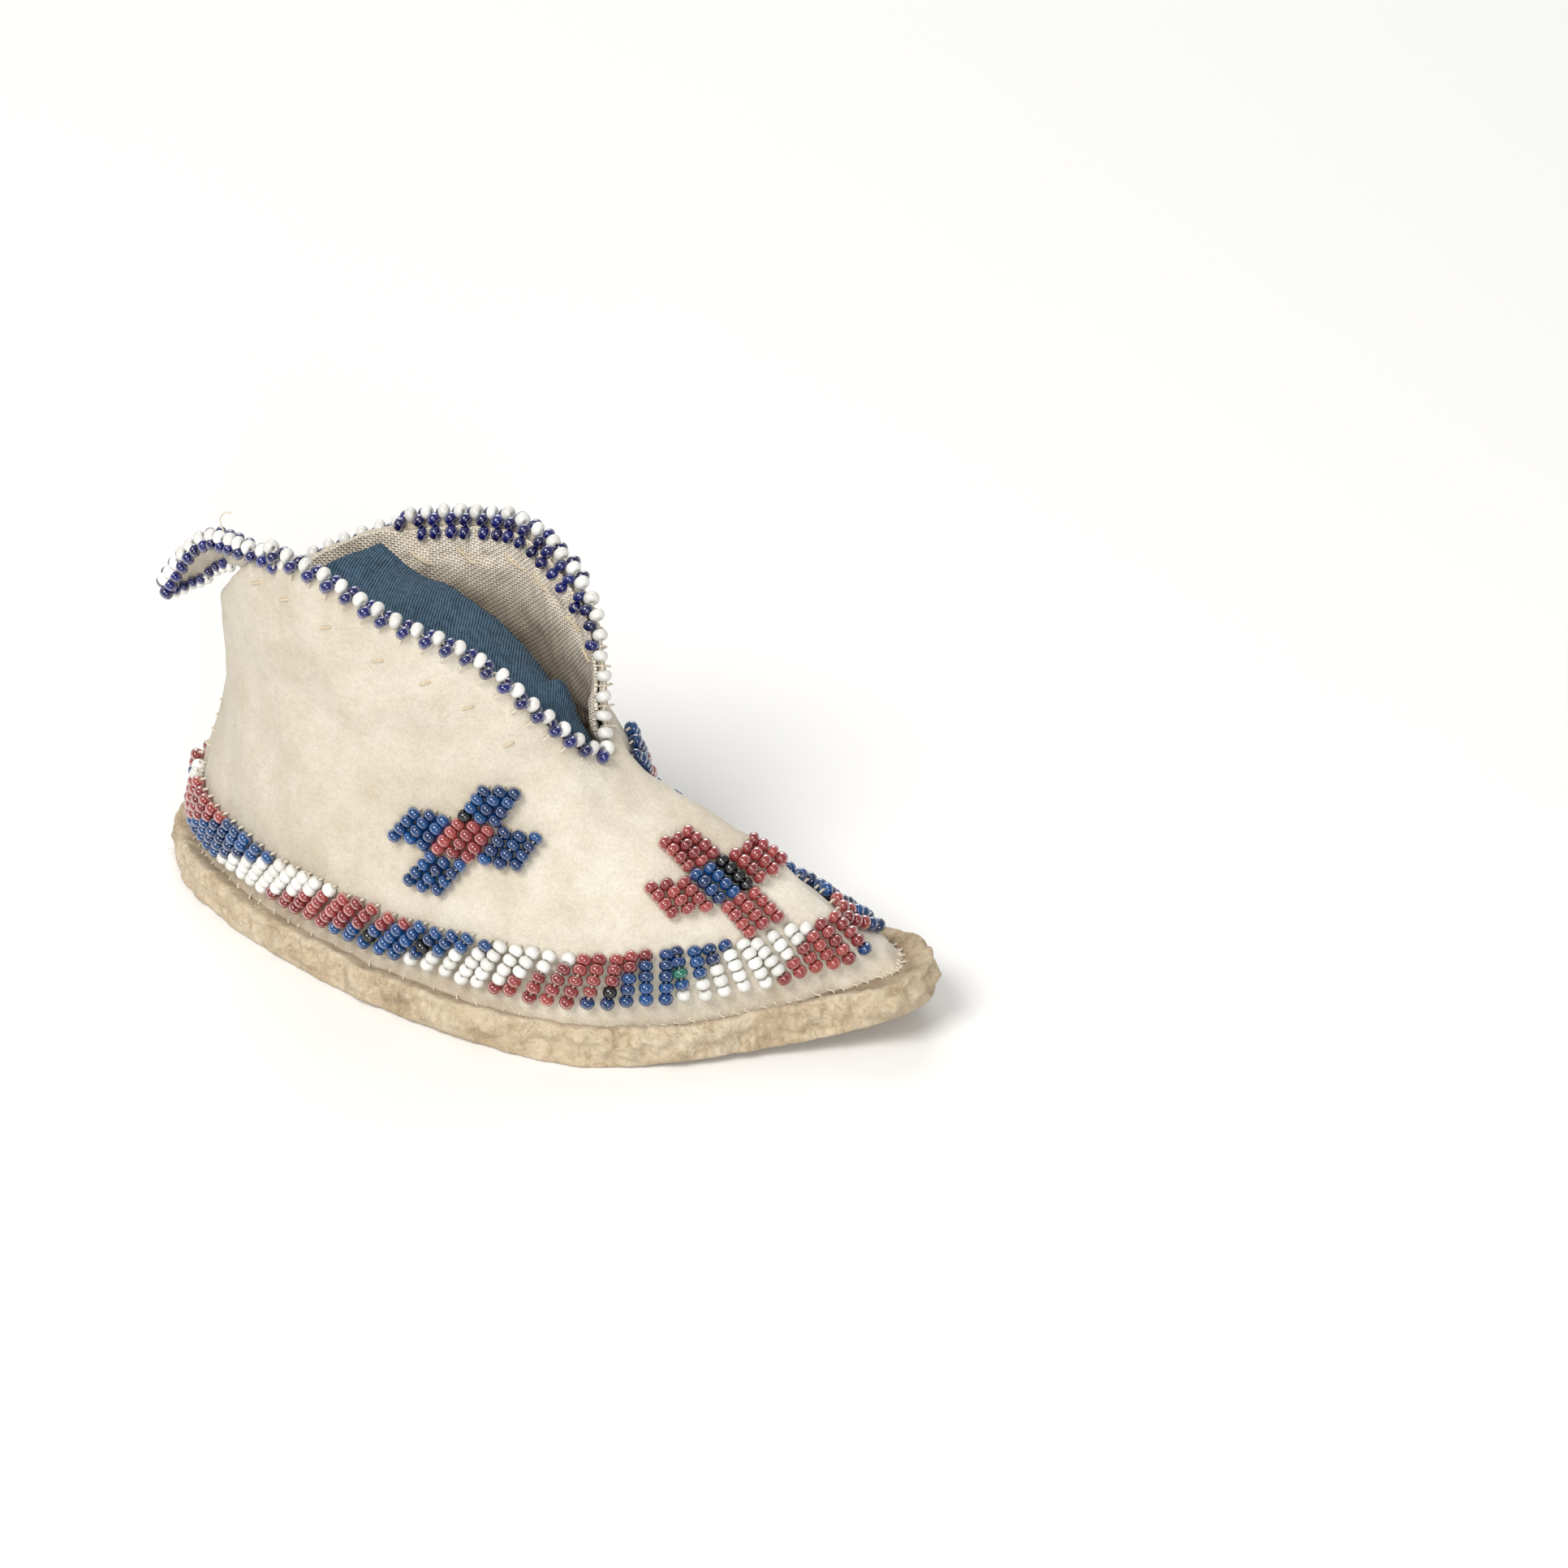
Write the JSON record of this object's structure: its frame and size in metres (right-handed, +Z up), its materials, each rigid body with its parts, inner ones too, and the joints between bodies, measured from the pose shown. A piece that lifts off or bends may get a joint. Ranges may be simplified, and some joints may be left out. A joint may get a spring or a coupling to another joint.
{
  "type": "beaded moccasin",
  "caption": "Child's hard-sole moccasin: rawhide sole, soft hide upper with tall flaps, glass bead band and crosses, cloth tongue.",
  "frame": {"origin": "on the ground under the middle of the sole's length, on the sole's underside", "axes": "+X from heel to toe, +Y to the inner (big toe) side, -Y to the outer side, +Z up out of the ankle opening"},
  "size_m": [0.127, 0.0522, 0.0641],
  "materials": {
    "rawhide": "dry, fibrous, matt",
    "buckskin": "soft nap, matt",
    "canvas": "plain weave",
    "blue_cloth": "close diagonal weave",
    "thread": "twisted, matt",
    "tan_thread": "twisted, matt",
    "glass_red": "polished",
    "glass_blue": "polished",
    "glass_white": "polished, opaque"
  },
  "bodies": {
    "shoe": {"sole": "rawhide", "upper": "buckskin", "outer_lining": "canvas", "inner_lining": "canvas", "edge_thread": "thread", "sole_seam_stitches": "thread", "heel_seam_stitches": "thread", "outer_lining_stitches": "tan_thread", "inner_lining_stitches": "tan_thread", "tongue_seam_stitches": "thread", "band_beads_red": "glass_red", "band_beads_blue": "glass_blue", "band_beads_white": "glass_white", "outer_cross_blue": "glass_blue", "outer_cross_red": "glass_red", "inner_cross_blue": "glass_blue", "inner_cross_red": "glass_red", "toe_cross_red": "glass_red", "toe_cross_blue": "glass_blue", "edge_beads_white": "glass_white", "edge_beads_blue": "glass_blue"},
    "tongue_cloth": {"tongue": "blue_cloth"}
  },
  "joints": [
    {"name": "tongue_lift", "type": "hinge", "parent": "shoe", "child": "tongue_cloth", "pos_m": [0.0073, 0, 0.0346], "axis": [0, 1, 0], "range_deg": [0, 40]}
  ]
}
